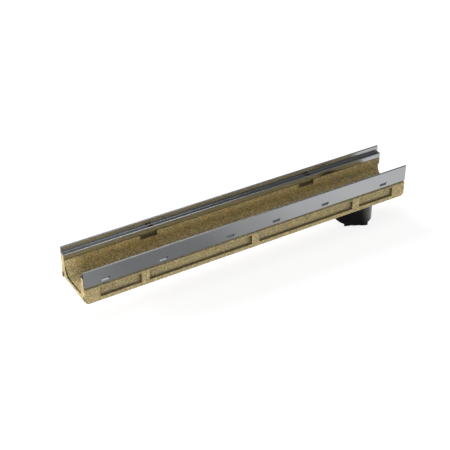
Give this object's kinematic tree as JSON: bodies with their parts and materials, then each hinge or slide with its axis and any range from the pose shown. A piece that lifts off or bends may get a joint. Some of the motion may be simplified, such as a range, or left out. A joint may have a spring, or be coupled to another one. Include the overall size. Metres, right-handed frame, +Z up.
{
  "type": "channel drain",
  "caption": "Shallow drain trough of polymer concrete with folded steel edge rails that seat a grating, and a round outlet pipe below one end.",
  "frame": {"origin": "centre of the flat underside of the trough", "axes": "+X along the channel towards the outlet end, +Y across it, +Z up"},
  "size_m": [1.006, 0.137, 0.176],
  "materials": {
    "polymer_concrete": "fine speckled aggregate, matt",
    "steel": "smooth satin sheet",
    "outlet_plastic": "smooth moulded, black"
  },
  "bodies": {
    "root": {"channel_body": "polymer_concrete", "near_rail": "steel", "far_rail": "steel", "outlet_spigot": "outlet_plastic"}
  },
  "joints": []
}
